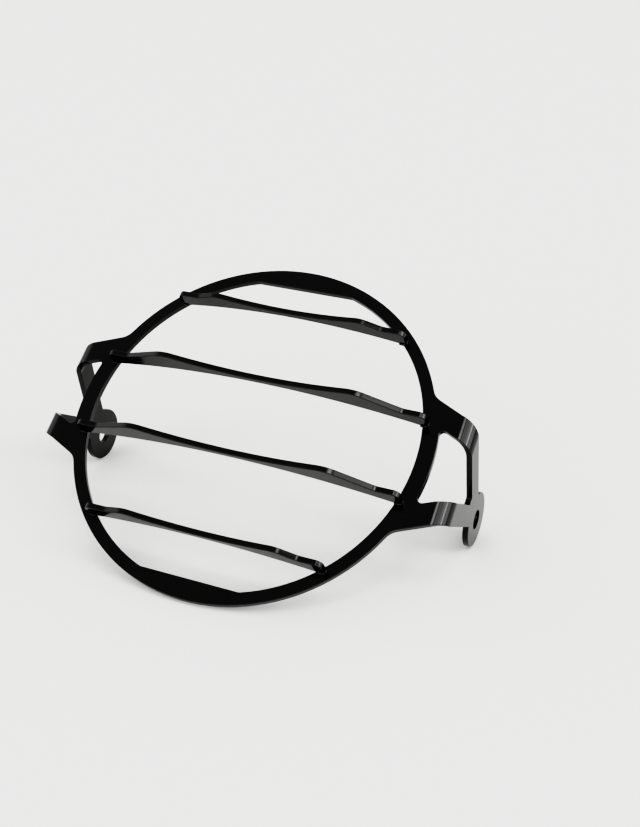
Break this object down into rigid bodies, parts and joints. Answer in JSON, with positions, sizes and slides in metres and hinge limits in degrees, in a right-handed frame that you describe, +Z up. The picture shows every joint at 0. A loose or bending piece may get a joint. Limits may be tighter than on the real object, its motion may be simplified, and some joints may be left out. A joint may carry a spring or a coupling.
{
  "type": "motorcycle headlight guard",
  "caption": "Flat ring with blades across its front and two ears folded back, each ending in a bolt eye, to cage a round headlight.",
  "frame": {"origin": "on the surface it rests on, under the centre of its bounding box", "axes": "+Z up; +X out along the bolt holes' common axis, to the right when the guard is seen from its front; -Y the way the front faces, leaning back so that the ring stands at 37 degrees to the surface"},
  "size_m": [0.226, 0.1542, 0.1166],
  "materials": {
    "black_coat": "gloss"
  },
  "bodies": {
    "root": {"guard_frame": "black_coat", "bar_top": "black_coat", "bar_upper": "black_coat", "bar_lower": "black_coat", "bar_bottom": "black_coat"}
  },
  "joints": []
}
